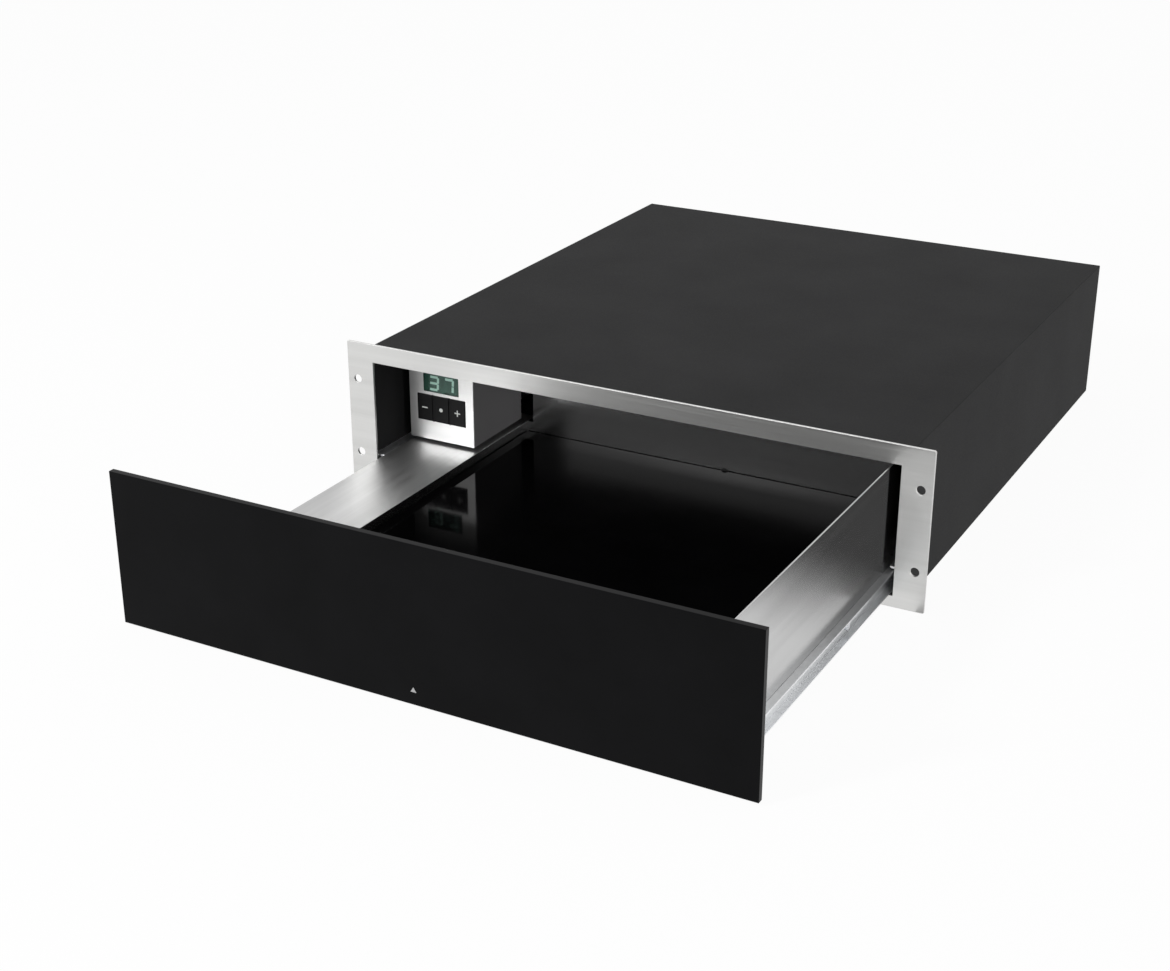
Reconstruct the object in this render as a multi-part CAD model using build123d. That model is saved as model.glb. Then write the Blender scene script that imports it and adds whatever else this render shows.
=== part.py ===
from build123d import *
import os

# Rack-width warming drawer for instruments, shown pulled open.
# X runs to the viewer's right, Y from the front to the back and Z up.
# Heights in this file count from the underside of the case. The finished pieces are lowered so
# that the origin is the centre of the four ear holes, on the back face of the mounting ears.

# Front frame with its mounting ears, laser-cut stainless plate
frame_width = 482.6
frame_height = 123.2
frame_thickness = 2.0
frame_corner = 1.2
stile_width = 23.5
top_rail_height = 14.9
sill_height = 8.8
ear_hole_inset = 8.75
ear_hole_pitch_z = 62.0
ear_hole_radius = 3.4

# Case, folded sheet steel
ear_width = 17.45
frame_overlap_z = 4.3
case_depth = 498.0
cover_sheet = 1.2
pan_sheet = 1.5
rear_sheet = 1.2
front_lip_setback = 0.5
rear_lip_width = 12.0
floor_lip_width = 12.0
floor_lip_margin = 14.0
pan_gap = 0.15
rear_panel_inset = 0.5

# Small fasteners, M3
screw_radius = 1.45
thread_hole_radius = 1.5
free_hole_radius = 1.7
screw_head_radius = 2.8
screw_head_height = 2.0
nut_across_flats = 5.5
nut_height = 2.4
thin_nut_height = 1.8
stud_end = 0.4
countersink_depth = 1.2
countersink_gap = 0.1
screw_reach = 5.0
rivet_radius = 1.6
rivet_fit = 0.05
rivet_head_radius = 2.8
rivet_head_height = 0.8
wall_rivet_count = 3
floor_rivet_count = 4

# Counts and places of the fastener rows
frame_studs = 4
frame_stud_pitch = 120.0
base_screws_per_side = 4
base_screw_margin = 44.0
rear_screw_columns = 3
rear_screw_pitch = 180.0
rear_side_screw_pitch = 50.0
slide_studs = 3
slide_stud_margin = 38.0

# Front panel, black glass on a steel backing plate
panel_margin_x = 2.95
panel_margin_top = 7.2
panel_thickness = 5.0
panel_bottom = 2.5
panel_edge = 0.6
backplate_margin_x = 13.35
backplate_margin_top = 7.0
backplate_margin_foot = 5.5
backplate_thickness = 1.5
shut_gap = 2.0
bumper_radius = 3.2
bumper_gap = 0.3
bumper_inset_z = 12.0
panel_screw_columns = 4
panel_screw_pitch = 120.0
panel_screw_drops = (54.0, 12.0)

# Drawer tray, folded stainless sheet
travel = 271.5
tray_sheet = 1.2
tray_side_gap = 7.8
tray_bottom = 10.0
wall_clearance = 2.8
front_wall_step = 1.5
deck_top = 32.0
deck_width = 63.0
drawer_rear_space = 95.3
rear_wall_cut = 6.0
rear_flange = 12.0
tray_overrun = 1.8

# Heated plate and what lies under it
plate_top = 24.0
plate_thickness = 4.0
plate_edge_gap = 0.8
gasket_thickness = 1.5
bearer_sheet = 1.5
bearer_ledge = 10.0
foil_thickness = 0.8
foil_inset = 2.0
sensor_size = (12.0, 22.0, 3.0)
cutout_radius = 8.0
cutout_height = 5.0
pocket_gap = 0.3
sensor_offset = 60.0

# Two-member ball slides
slide_height = 17.5
slide_sheet = 1.2
slide_length = 400.0
slide_setback = 2.0
inner_half_height = 7.5
inner_flange_reach = 6.0
inner_setback = 4.5
inner_end_gap = 11.0
outer_flange_clear = 3.2
ball_radius = 1.55
ball_gap = 0.1
balls_per_row = 8
ball_pitch = 14.0
cage_sheet = 0.8
cage_length = 110.0
cage_setback = 3.0
cage_web_gap = 1.7

# Control unit hung inside the left end of the opening
control_width = 60.0
control_left_gap = 11.65
control_front = 38.0
control_depth = 75.0
control_deck_gap = 2.6
control_sheet = 1.0
faceplate_thickness = 1.0
display_width = 33.0
display_height = 17.0
display_key_gap = 2.7
display_gap = 0.2
window_thickness = 1.8
module_thickness = 8.0
module_border = 1.0
button_spacing = 1.4
button_width = 14.0
button_height = 22.0
button_foot_gap = 16.2
button_gap = 0.25
button_proud = 0.8
button_edge = 0.6
button_lip = 1.2
button_lip_setback = 0.6
button_body_depth = 3.8
stem_radius = 2.0
stem_fit = 0.08
stem_depth = 4.2
switch_size = 6.4
switch_height = 3.0
switch_floor = 0.8
board_thickness = 1.6
board_margin = 1.8
spacer_radius = 2.5
spacer_inset = 5.0
component_margin = 8.0
relay_size = (20.0, 16.0, 20.0)
terminal_size = (18.0, 10.0, 10.0)
terminal_gap = 4.0
chip_size = (12.0, 2.0, 12.0)
chip_height = 42.0

# Power supply, mains inlet and leads
supply_size = (150.0, 58.0, 34.0)
supply_right_gap = 22.0
supply_rear_gap = 30.0
supply_sheet = 1.0
supply_board_height = 7.0
supply_board_margin = 4.0
supply_leg_inset = 5.0
transformer_size = (32.0, 30.0, 20.0)
transformer_place = (50.0, 10.0)
coil_size = (20.0, 20.0, 16.0)
coil_place = (14.0, 12.0)
capacitor_radius = 6.0
capacitor_height = 20.0
capacitor_pitch = 14.0
capacitor_place = (112.0, 26.0)
inlet_flange_width = 50.0
inlet_flange_height = 25.0
inlet_flange_thickness = 3.0
inlet_body_width = 27.4
inlet_body_height = 20.0
inlet_body_depth = 22.0
inlet_fit = 0.3
inlet_recess_width = 24.6
inlet_recess_height = 16.6
inlet_recess_depth = 17.0
inlet_pin_size = (2.0, 4.0, 11.5)
inlet_pin_spread = 7.0
inlet_earth_drop = 4.0
inlet_screw_pitch = 40.0
inlet_x = 150.0
inlet_height = 72.0
vent_slots = 12
vent_slot_width = 3.0
vent_slot_height = 34.0
vent_slot_pitch = 8.0
vent_centre_x = -60.0
vent_centre_height = 60.0
lead_radius = 2.5
lead_lift = 0.3
lead_exit_x = 34.0
lead_exit_height = 22.0
grommet_radius = 5.0
grommet_neck = 3.6
grommet_lip = 1.6
grommet_fit = 0.1
clip_length = 8.0
clip_wall = 1.5
clip_x = 70.0
clip_reach = 178.2
clip_run = 34.0
heater_lead_route = ((0.0, 30.0), (3.0, 72.0), (18.0, 112.0))
heater_lead_bends = (24.0, 26.0, 30.0, 26.0)
control_lead_inset = 16.0
control_lead_drop = 12.0
control_lead_slope = 60.0
control_lead_step = (50.0, 20.0)
control_lead_bends = (40.0, 26.0, 20.0)
side_lead_inset = 8.0
mains_lead_inset = 24.0
mains_lead_bend = 12.0

# Touch latch behind the drawer
latch_height = 62.0
latch_width = 18.0
latch_depth = 56.0
latch_thickness = 18.0
latch_rear_gap = 28.0
plunger_radius = 4.0
plunger_fit = 0.08
plunger_inside = 22.0
magnet_radius = 5.5
magnet_thickness = 3.0
latch_reach_gap = 0.3
spring_wire = 0.4
spring_turns = 7
spring_radius = 3.0
spring_end_gap = 0.3
strike_size = 24.0
strike_thickness = 1.5
bracket_sheet = 2.0
bracket_foot = 26.0
bracket_depth = 34.0

# Sizes and places worked out from the ones above
opening_width = frame_width - 2 * stile_width
opening_height = frame_height - top_rail_height - sill_height
ear_hole_pitch_x = frame_width - 2 * ear_hole_inset
case_width = frame_width - 2 * ear_width
case_height = frame_height - frame_overlap_z
panel_width = frame_width - 2 * panel_margin_x
panel_height = frame_height - panel_margin_top - panel_bottom
backplate_width = panel_width - 2 * backplate_margin_x
backplate_height = panel_height - backplate_margin_top - backplate_margin_foot
backplate_bottom = panel_bottom + backplate_margin_foot
tray_width = opening_width - 2 * tray_side_gap
case_half = case_width / 2
case_inner = case_half - cover_sheet
roof = case_height - cover_sheet
cover_depth = case_depth - rear_sheet
opening_half = opening_width / 2
opening_top = sill_height + opening_height
mount_height = frame_height / 2
wall_top = opening_top - wall_clearance
front_wall_top = wall_top - front_wall_step
tray_half = tray_width / 2
tray_front = -frame_thickness - shut_gap - travel
tray_length = cover_depth - drawer_rear_space + frame_thickness + shut_gap
well_length = tray_length - 2 * tray_sheet - rear_flange - tray_overrun
well_front = tray_front + tray_sheet
rear_wall_front = well_front + well_length
rear_wall_back = rear_wall_front + tray_sheet
tray_back = rear_wall_back + rear_flange + tray_overrun
tray_floor = tray_bottom + tray_sheet
well_left = -tray_half + deck_width
well_right = tray_half - tray_sheet
plate_bottom = plate_top - plate_thickness
gasket_bottom = plate_bottom - gasket_thickness
ball_centre_offset = inner_half_height + ball_gap + ball_radius
outer_half_height = ball_centre_offset + ball_radius + ball_gap + slide_sheet
control_left = -case_inner + control_left_gap
control_right = control_left + control_width
control_middle = (control_left + control_right) / 2
control_bottom = deck_top + control_deck_gap
button_pitch = button_width + button_spacing
button_centre_height = control_bottom + button_foot_gap + button_height / 2
display_foot = button_centre_height + button_height / 2 + display_key_gap
display_centre_height = display_foot + display_height / 2
faceplate_back = control_front + faceplate_thickness
board_front = control_front + display_gap + window_thickness + module_thickness
latch_front = cover_depth - latch_rear_gap - latch_depth
strike_shut = rear_wall_back + strike_thickness + travel


def block(x, y, z):
    """A block between pairs of limits along X, Y and Z."""
    corner = Pos(x[0], y[0], z[0])
    return corner * Box(x[1] - x[0], y[1] - y[0], z[1] - z[0], align=(Align.MIN, Align.MIN, Align.MIN))


def rod(radius, start, end):
    """A round bar from one point to another."""
    line = Vector(*end) - Vector(*start)
    place = Plane(origin=start, z_dir=line)
    return place * Cylinder(radius, line.length, align=(Align.CENTER, Align.CENTER, Align.MIN))


def cone(start_radius, end_radius, start, end):
    """A tapered round bar from one point to another."""
    line = Vector(*end) - Vector(*start)
    place = Plane(origin=start, z_dir=line)
    on_base = (Align.CENTER, Align.CENTER, Align.MIN)
    return place * Cone(start_radius, end_radius, line.length, align=on_base)


def nut(start, end):
    """A hexagon nut with its thread hole, between two points on its axis."""
    line = Vector(*end) - Vector(*start)
    hexagon = RegularPolygon(nut_across_flats / 2, 6, major_radius=False)
    body = extrude(Plane(origin=start, z_dir=line) * hexagon, line.length, dir=line.normalized())
    return body - rod(thread_hole_radius, start, end)


def row(count, pitch, middle=0.0):
    """Evenly spaced places about a middle."""
    return [middle + (i - (count - 1) / 2) * pitch for i in range(count)]


def spread(count, low, high):
    """Evenly spaced places from one limit to another."""
    return [low + (high - low) * i / (count - 1) for i in range(count)]


def group(solids):
    """Separate solids kept together as one node."""
    return Compound(list(solids))


def save(name, shape):
    """Writes one node, lowered so that the ear holes' centre is the origin."""
    export_step(Pos(0, 0, -mount_height) * shape, f"parts/{name}.step")


def tube(points, radii):
    """A round lead along straight runs joined by arcs."""
    path = FilletPolyline(*points, radius=radii)
    start = Plane(origin=path @ 0, z_dir=path % 0)
    return sweep(start * Circle(lead_radius), path=path)


# ---------------------------------------------------------------- case

top_lip_middle = (opening_top + front_lip_setback + roof) / 2
sill_lip_top = sill_height - front_lip_setback
sill_lip_middle = (pan_sheet + sill_lip_top) / 2
frame_stud_heights = (top_lip_middle, sill_lip_middle)
frame_stud_places = [(x, z) for z in frame_stud_heights for x in row(frame_studs, frame_stud_pitch)]
ear_hole_places = [
    (x, z)
    for x in row(2, ear_hole_pitch_x)
    for z in row(2, ear_hole_pitch_z, mount_height)
]


def make_front_frame():
    plate = block((-frame_width / 2, frame_width / 2), (-frame_thickness, 0), (0, frame_height))
    plate = fillet(plate.edges().filter_by(Axis.Y), frame_corner)
    plate -= block((-opening_half, opening_half), (-frame_thickness, 0), (sill_height, opening_top))
    for x, z in ear_hole_places:
        plate -= rod(ear_hole_radius, (x, -frame_thickness, z), (x, 0, z))
    for x, z in frame_stud_places:
        plate += rod(screw_radius, (x, 0, z), (x, cover_sheet + nut_height + stud_end, z))
    return plate


def make_frame_nuts():
    start = cover_sheet
    return group(nut((x, start, z), (x, start + nut_height, z)) for x, z in frame_stud_places)


base_screw_places = [
    (side * (case_inner - floor_lip_width / 2), y)
    for side in (-1, 1)
    for y in spread(base_screws_per_side, base_screw_margin, cover_depth - base_screw_margin)
]
rear_lip_middle = rear_lip_width / 2
rear_top_places = [(x, roof - rear_lip_middle) for x in row(rear_screw_columns, rear_screw_pitch)]
rear_pan_places = [(x, pan_sheet + rear_lip_middle) for x in row(rear_screw_columns, rear_screw_pitch)]
rear_side_places = [
    (side * (case_inner - rear_lip_middle), z)
    for side in (-1, 1)
    for z in row(2, rear_side_screw_pitch, case_height / 2)
]
outer_slide_web = case_inner - slide_sheet
slide_stud_end = outer_slide_web - thin_nut_height - stud_end / 2
slide_stud_places = spread(
    slide_studs, slide_setback + slide_stud_margin, slide_setback + slide_length - slide_stud_margin
)


def make_case_cover():
    """Roof and both sides in one fold, with lips turned in at the front, the back and the floor."""
    cover = block((-case_half, case_half), (0, cover_depth), (0, case_height))
    cover -= block((-case_inner, case_inner), (0, cover_depth), (0, roof))
    cover += block((-case_inner, case_inner), (0, cover_sheet), (opening_top + front_lip_setback, roof))
    rear_lip = (cover_depth - cover_sheet, cover_depth)
    cover += block((-case_inner, case_inner), rear_lip, (roof - rear_lip_width, roof))
    for side in (-1, 1):
        wall = side * case_inner
        front_edge = sorted((side * (opening_half + front_lip_setback), wall))
        cover += block(front_edge, (0, cover_sheet), (pan_sheet, roof))
        rear_edge = sorted((side * (case_inner - rear_lip_width), wall))
        cover += block(rear_edge, rear_lip, (pan_sheet + rear_lip_width + pan_gap, roof))
        floor_edge = sorted((side * (case_inner - floor_lip_width), wall))
        floor_run = (floor_lip_margin, cover_depth - floor_lip_margin)
        cover += block(floor_edge, floor_run, (pan_sheet, pan_sheet + cover_sheet))
        for y in slide_stud_places:
            stud = (side * slide_stud_end, y, slide_height)
            cover += rod(screw_radius, (wall, y, slide_height), stud)
    for x, y in base_screw_places:
        cover -= rod(thread_hole_radius, (x, y, pan_sheet), (x, y, pan_sheet + cover_sheet))
    for x, z in rear_top_places + rear_side_places:
        cover -= rod(thread_hole_radius, (x, rear_lip[0], z), (x, rear_lip[1], z))
    for x, z in frame_stud_places[:frame_studs]:
        cover -= rod(free_hole_radius, (x, 0, z), (x, cover_sheet, z))
    return cover


def make_base_pan():
    """Floor of the case, turned up at the front and the back between the cover's sides."""
    half = case_inner - pan_gap
    front_half = opening_half - front_lip_setback
    rear_half = case_inner - rear_lip_width
    pan = block((-half, half), (0, cover_depth), (0, pan_sheet))
    pan += block((-front_half, front_half), (0, cover_sheet), (pan_sheet, sill_lip_top))
    rear_lip = (cover_depth - cover_sheet, cover_depth)
    pan += block((-rear_half, rear_half), rear_lip, (pan_sheet, pan_sheet + rear_lip_width))
    for x, y in base_screw_places:
        pan -= cone(screw_head_radius, thread_hole_radius, (x, y, 0), (x, y, countersink_depth))
        pan -= rod(thread_hole_radius, (x, y, 0), (x, y, pan_sheet))
    for x, z in rear_pan_places:
        pan -= rod(thread_hole_radius, (x, rear_lip[0], z), (x, rear_lip[1], z))
    for x, z in frame_stud_places[frame_studs:]:
        pan -= rod(free_hole_radius, (x, 0, z), (x, cover_sheet, z))
    return pan


def make_base_screws():
    """Countersunk screws from below, flush with the underside."""
    solids = []
    for x, y in base_screw_places:
        start = (x, y, countersink_gap / 2)
        head = cone(screw_head_radius - countersink_gap, screw_radius, start, (x, y, countersink_depth))
        solids.append(head + rod(screw_radius, start, (x, y, screw_reach)))
    return group(solids)


def make_rear_panel():
    half = case_half - rear_panel_inset
    span = (cover_depth, case_depth)
    panel = block((-half, half), span, (rear_panel_inset, case_height - rear_panel_inset))
    for x, z in rear_top_places + rear_side_places + rear_pan_places:
        panel -= rod(free_hole_radius, (x, span[0], z), (x, span[1], z))
    for x in row(vent_slots, vent_slot_pitch, vent_centre_x):
        low = vent_centre_height - vent_slot_height / 2
        slot_x = (x - vent_slot_width / 2, x + vent_slot_width / 2)
        panel -= block(slot_x, span, (low, low + vent_slot_height))
    hole_x = inlet_body_width / 2 + inlet_fit
    hole_z = inlet_body_height / 2 + inlet_fit
    panel -= block(
        (inlet_x - hole_x, inlet_x + hole_x), span, (inlet_height - hole_z, inlet_height + hole_z)
    )
    for x in row(2, inlet_screw_pitch, inlet_x):
        panel -= rod(thread_hole_radius, (x, span[0], inlet_height), (x, span[1], inlet_height))
    return panel


def pan_head_screw(point, direction, grip):
    """A screw whose head sits on a point and whose shank runs the grip length along a direction."""
    seat = Vector(*point)
    way = Vector(*direction)
    head = rod(screw_head_radius, seat - way * screw_head_height, seat)
    return head + rod(screw_radius, seat, seat + way * grip)


def make_rear_screws():
    places = rear_top_places + rear_side_places + rear_pan_places
    return group(pan_head_screw((x, case_depth, z), (0, -1, 0), screw_reach) for x, z in places)


# ---------------------------------------------------------------- slides


def make_slide_outer(side):
    """Channel fixed to the case wall, open towards the drawer."""
    web = sorted((side * outer_slide_web, side * case_inner))
    reach = sorted((side * (tray_half + outer_flange_clear), side * outer_slide_web))
    span = (slide_setback, slide_setback + slide_length)
    low = slide_height - outer_half_height
    high = slide_height + outer_half_height
    channel = block(web, span, (low, high))
    channel += block(reach, span, (low, low + slide_sheet))
    channel += block(reach, span, (high - slide_sheet, high))
    for y in slide_stud_places:
        start = (side * outer_slide_web, y, slide_height)
        channel -= rod(free_hole_radius, start, (side * case_inner, y, slide_height))
    return channel


def make_slide_nuts():
    start = outer_slide_web
    return group(
        nut((side * start, y, slide_height), (side * (start - thin_nut_height), y, slide_height))
        for side in (-1, 1)
        for y in slide_stud_places
    )


inner_slide_start = tray_front + inner_setback
inner_web_face = tray_half + slide_sheet
inner_slide_end = tray_front + tray_length - inner_end_gap
inner_screw_places = spread(
    slide_studs, inner_slide_start + slide_stud_margin, inner_slide_end - slide_stud_margin
)


def make_slide_inner(side):
    """Channel fixed to the drawer, open towards the case wall."""
    web = sorted((side * tray_half, side * inner_web_face))
    reach = sorted((side * inner_web_face, side * (tray_half + inner_flange_reach)))
    span = (inner_slide_start, inner_slide_end)
    low = slide_height - inner_half_height
    high = slide_height + inner_half_height
    channel = block(web, span, (low, high))
    channel += block(reach, span, (low, low + slide_sheet))
    channel += block(reach, span, (high - slide_sheet, high))
    for y in inner_screw_places:
        start = (side * tray_half, y, slide_height)
        channel -= rod(free_hole_radius, start, (side * inner_web_face, y, slide_height))
    return channel


def make_drawer_slide_screws():
    grip = inner_web_face - well_right
    return group(
        pan_head_screw((side * inner_web_face, y, slide_height), (-side, 0, 0), grip)
        for side in (-1, 1)
        for y in inner_screw_places
    )


ball_lane = tray_half + (outer_flange_clear + inner_flange_reach) / 2
cage_start = slide_setback + cage_setback
ball_places = row(balls_per_row, ball_pitch, cage_start + cage_length / 2)


def make_cage(side):
    """Retainer strip that keeps both rows of balls at their spacing."""
    web_face = tray_half + inner_flange_reach + cage_web_gap
    top = ball_centre_offset + cage_sheet / 2
    span = (cage_start, cage_start + cage_length)
    web = sorted((side * web_face, side * (web_face + cage_sheet)))
    tab = sorted((side * (tray_half + outer_flange_clear), side * (web_face + cage_sheet)))
    cage = block(web, span, (slide_height - top, slide_height + top))
    for row_side in (-1, 1):
        limits = sorted((row_side * (top - cage_sheet), row_side * top))
        cage += block(tab, span, (slide_height + limits[0], slide_height + limits[1]))
        for y in ball_places:
            low = (side * ball_lane, y, slide_height + limits[0])
            cage -= rod(ball_radius + ball_gap, low, (low[0], y, slide_height + limits[1]))
    return cage


def make_balls(side):
    return group(
        Pos(side * ball_lane, y, slide_height + row_side * ball_centre_offset) * Sphere(ball_radius)
        for row_side in (-1, 1)
        for y in ball_places
    )


# ---------------------------------------------------------------- drawer

rivet_side_heights = spread(
    wall_rivet_count, slide_height + outer_half_height + rear_flange, wall_top - rear_flange
)
rivet_floor_margin = 2 * rear_flange
rivet_floor_places = spread(
    floor_rivet_count, well_left + rivet_floor_margin, well_right - rivet_floor_margin
)
rivet_y = rear_wall_back + rear_flange / 2
panel_screw_places = [
    (x, front_wall_top - drop)
    for drop in panel_screw_drops
    for x in row(panel_screw_columns, panel_screw_pitch)
]


def make_drawer_tray():
    """One folding: right wall, floor, left edge of the well, low deck on the left and front wall."""
    span = (tray_front, tray_back)
    tray = block((-tray_half, tray_half), span, (tray_bottom, tray_floor))
    tray += block((well_right, tray_half), span, (tray_floor, wall_top))
    tray += block((well_left - tray_sheet, well_left), span, (tray_floor, deck_top))
    tray += block((-tray_half, well_left), span, (deck_top - tray_sheet, deck_top))
    tray += block((-tray_half, -well_right), span, (tray_floor, deck_top))
    tray += block((-tray_half, tray_half), (tray_front, well_front), (tray_bottom, front_wall_top))
    for x, z in panel_screw_places:
        tray -= rod(free_hole_radius, (x, tray_front, z), (x, well_front, z))
    for side in (-1, 1):
        for y in inner_screw_places:
            start = (side * well_right, y, slide_height)
            tray -= rod(thread_hole_radius, start, (side * tray_half, y, slide_height))
    for z in rivet_side_heights:
        tray -= rod(rivet_radius, (well_right, rivet_y, z), (tray_half, rivet_y, z))
    for x in rivet_floor_places:
        tray -= rod(rivet_radius, (x, rivet_y, tray_bottom), (x, rivet_y, tray_floor))
    return tray


def make_drawer_rear_wall():
    """Upright sheet with flanges turned back along its top, its right end and its foot."""
    sheet = (rear_wall_front, rear_wall_back)
    flange = (rear_wall_back, rear_wall_back + rear_flange)
    left = well_left + rear_wall_cut
    wall = block((left, well_right), sheet, (tray_floor, wall_top))
    wall += block((well_left, left), sheet, (tray_floor, deck_top))
    wall += block((left, well_right - tray_sheet), flange, (wall_top - tray_sheet, wall_top))
    wall += block((well_right - tray_sheet, well_right), flange, (tray_floor, wall_top))
    wall += block((well_left, well_right - tray_sheet), flange, (tray_floor, tray_floor + tray_sheet))
    for z in rivet_side_heights:
        wall -= rod(rivet_radius, (well_right - tray_sheet, rivet_y, z), (well_right, rivet_y, z))
    for x in rivet_floor_places:
        wall -= rod(rivet_radius, (x, rivet_y, tray_floor), (x, rivet_y, tray_floor + tray_sheet))
    wall -= rod(
        grommet_neck, (lead_exit_x, rear_wall_front, lead_exit_height),
        (lead_exit_x, rear_wall_back, lead_exit_height)
    )
    return wall


def rivet(outside, inside):
    """A flat-headed rivet through two sheets, upset on the far side."""
    way = (Vector(*inside) - Vector(*outside)).normalized()
    head = rod(rivet_head_radius, Vector(*outside) - way * rivet_head_height, outside)
    foot = rod(rivet_head_radius, inside, Vector(*inside) + way * rivet_head_height)
    return head + foot + rod(rivet_radius - rivet_fit, outside, inside)


def make_rear_wall_rivets():
    side = [
        rivet((tray_half, rivet_y, z), (well_right - tray_sheet, rivet_y, z)) for z in rivet_side_heights
    ]
    floor = [
        rivet((x, rivet_y, tray_bottom), (x, rivet_y, tray_floor + tray_sheet)) for x in rivet_floor_places
    ]
    return group(side + floor)


def make_front_glass():
    back = tray_front - backplate_thickness
    glass = block(
        (-panel_width / 2, panel_width / 2), (back - panel_thickness, back),
        (panel_bottom, panel_bottom + panel_height)
    )
    front_edges = glass.faces().sort_by(Axis.Y)[0].edges()
    return chamfer(front_edges, panel_edge)


def make_panel_backplate():
    plate = block(
        (-backplate_width / 2, backplate_width / 2), (tray_front - backplate_thickness, tray_front),
        (backplate_bottom, backplate_bottom + backplate_height)
    )
    for x, z in panel_screw_places:
        plate -= rod(thread_hole_radius, (x, tray_front - backplate_thickness, z), (x, tray_front, z))
    return plate


def make_panel_bumpers():
    """Rubber buttons that meet the front frame when the drawer is shut."""
    inset = backplate_width / 2 - bumper_radius
    heights = (backplate_bottom + bumper_inset_z, backplate_bottom + backplate_height - bumper_inset_z)
    end = tray_front + shut_gap - bumper_gap
    return group(
        rod(bumper_radius, (side * inset, tray_front, z), (side * inset, end, z))
        for side in (-1, 1)
        for z in heights
    )


def make_panel_screws():
    grip = tray_sheet + backplate_thickness
    return group(pan_head_screw((x, well_front, z), (0, -1, 0), grip) for x, z in panel_screw_places)


plate_x = (well_left + plate_edge_gap, well_right - plate_edge_gap)
plate_y = (well_front + plate_edge_gap, rear_wall_front - plate_edge_gap)
ledge_x = (plate_x[0] + bearer_ledge, plate_x[1] - bearer_ledge)
ledge_y = (plate_y[0] + bearer_ledge, plate_y[1] - bearer_ledge)
foil_x = (ledge_x[0] + foil_inset, ledge_x[1] - foil_inset)
foil_y = (ledge_y[0] + foil_inset, ledge_y[1] - foil_inset)
foil_bottom = plate_bottom - foil_thickness
plate_middle = ((plate_x[0] + plate_x[1]) / 2, (plate_y[0] + plate_y[1]) / 2)


def make_heating_plate():
    return block(plate_x, plate_y, (plate_bottom, plate_top))


def make_plate_gasket():
    ring = block(plate_x, plate_y, (gasket_bottom, plate_bottom))
    return ring - block(ledge_x, ledge_y, (gasket_bottom, plate_bottom))


def make_plate_bearer():
    """Angle ring that stands on the tray floor and carries the plate by its edges."""
    inside_x = (plate_x[0] + bearer_sheet, plate_x[1] - bearer_sheet)
    inside_y = (plate_y[0] + bearer_sheet, plate_y[1] - bearer_sheet)
    ring = block(plate_x, plate_y, (tray_floor, gasket_bottom))
    ring -= block(inside_x, inside_y, (tray_floor, gasket_bottom - bearer_sheet))
    return ring - block(ledge_x, ledge_y, (gasket_bottom - bearer_sheet, gasket_bottom))


def make_heating_foil():
    return block(foil_x, foil_y, (foil_bottom, plate_bottom))


def sensor_block(grow):
    """The temperature sensor's block, or the pocket for it when it is grown."""
    x, y = plate_middle
    half_x = sensor_size[0] / 2 + grow
    half_y = sensor_size[1] / 2 + grow
    low = foil_bottom - sensor_size[2] - grow
    return block((x - half_x, x + half_x), (y - half_y, y + half_y), (low, foil_bottom))


def cutout_disc(grow):
    """The thermal cut-out's round case, or the pocket for it when it is grown."""
    x, y = plate_middle
    top = (x, y + sensor_offset, foil_bottom)
    return rod(cutout_radius + grow, (x, y + sensor_offset, foil_bottom - cutout_height - grow), top)


def make_insulation_mat():
    mat = block(foil_x, foil_y, (tray_floor, foil_bottom))
    return mat - sensor_block(pocket_gap) - cutout_disc(pocket_gap)


def make_latch_strike():
    half = strike_size / 2
    span = (rear_wall_back, rear_wall_back + strike_thickness)
    return block((-half, half), span, (latch_height - half, latch_height + half))


# ---------------------------------------------------------------- control unit

control_top = roof
control_back = control_front + control_depth
module_half_x = display_width / 2 + module_border
module_half_z = display_height / 2 + module_border
button_names = ("button_minus", "button_set", "button_plus")
button_places = dict(zip(button_names, row(len(button_names), button_pitch, control_middle)))


def make_control_housing():
    """Open-fronted box of folded sheet that hangs from the roof."""
    x = (control_left, control_right)
    box = block(x, (faceplate_back, control_back), (control_bottom, control_top))
    inside_x = (x[0] + control_sheet, x[1] - control_sheet)
    inside_z = (control_bottom + control_sheet, control_top - control_sheet)
    return box - block(inside_x, (faceplate_back, control_back - control_sheet), inside_z)


def make_control_faceplate():
    span = (control_front, faceplate_back)
    plate = block((control_left, control_right), span, (control_bottom, control_top))
    half_x = display_width / 2
    half_z = display_height / 2
    display_z = (display_centre_height - half_z, display_centre_height + half_z)
    plate -= block((control_middle - half_x, control_middle + half_x), span, display_z)
    half_x = button_width / 2 + button_gap
    half_z = button_height / 2 + button_gap
    for x in button_places.values():
        key_z = (button_centre_height - half_z, button_centre_height + half_z)
        plate -= block((x - half_x, x + half_x), span, key_z)
    return plate


def make_display_window():
    half_x = display_width / 2 - display_gap
    half_z = display_height / 2 - display_gap
    front = control_front + display_gap
    return block(
        (control_middle - half_x, control_middle + half_x), (front, front + window_thickness),
        (display_centre_height - half_z, display_centre_height + half_z)
    )


def make_display_module():
    """Two-digit display block between the window and the board."""
    return block(
        (control_middle - module_half_x, control_middle + module_half_x),
        (board_front - module_thickness, board_front),
        (display_centre_height - module_half_z, display_centre_height + module_half_z)
    )


def make_button(x):
    """Key cap with retaining lips above and below, and the stem that works the switch."""
    front = control_front - button_proud
    back = front + button_body_depth
    half_x = button_width / 2
    half_z = button_height / 2
    z = button_centre_height
    cap = block((x - half_x, x + half_x), (front, back), (z - half_z, z + half_z))
    cap = fillet(cap.faces().sort_by(Axis.Y)[0].edges(), button_edge)
    lip_start = faceplate_back + button_lip_setback
    lip_half = half_z + button_lip
    cap += block((x - half_x, x + half_x), (lip_start, back), (z - lip_half, z + lip_half))
    return cap + rod(stem_radius, (x, back, z), (x, back + stem_depth, z))


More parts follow.
